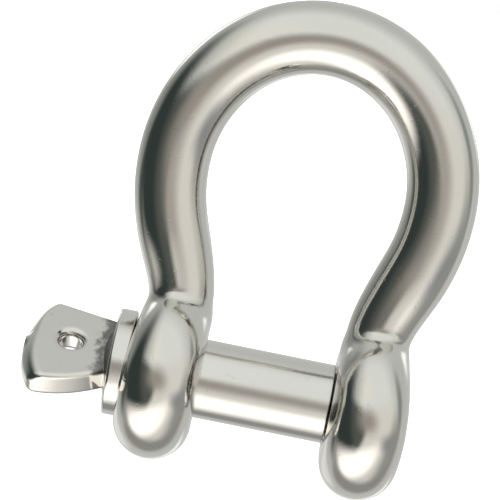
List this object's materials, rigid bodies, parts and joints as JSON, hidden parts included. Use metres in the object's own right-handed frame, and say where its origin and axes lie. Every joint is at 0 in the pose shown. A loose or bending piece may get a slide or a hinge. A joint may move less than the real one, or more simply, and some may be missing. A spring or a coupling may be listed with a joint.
{
  "type": "bow shackle",
  "caption": "Bow shackle with a wide rounded bow, two thick round eyes and a screw pin with a flat drilled tab, for joining rope, chain or fittings on a boat.",
  "frame": {"origin": "on the pin's axis, midway between the two eyes", "axes": "+X along the pin away from its tab head, +Z from the pin to the crown of the bow, the bow in the XZ plane"},
  "size_m": [0.0416, 0.0178, 0.0486],
  "materials": {
    "bow": "mirror-polished investment-cast stainless steel",
    "screw_pin": "turned and polished stainless steel"
  },
  "bodies": {
    "bow": {"bow": "bow"},
    "screw_pin": {"screw_pin": "screw_pin"}
  },
  "joints": [
    {"name": "pin_draw", "type": "slide", "parent": "bow", "child": "screw_pin", "axis": [-1, 0, 0], "range_m": [0, 0.031]}
  ]
}
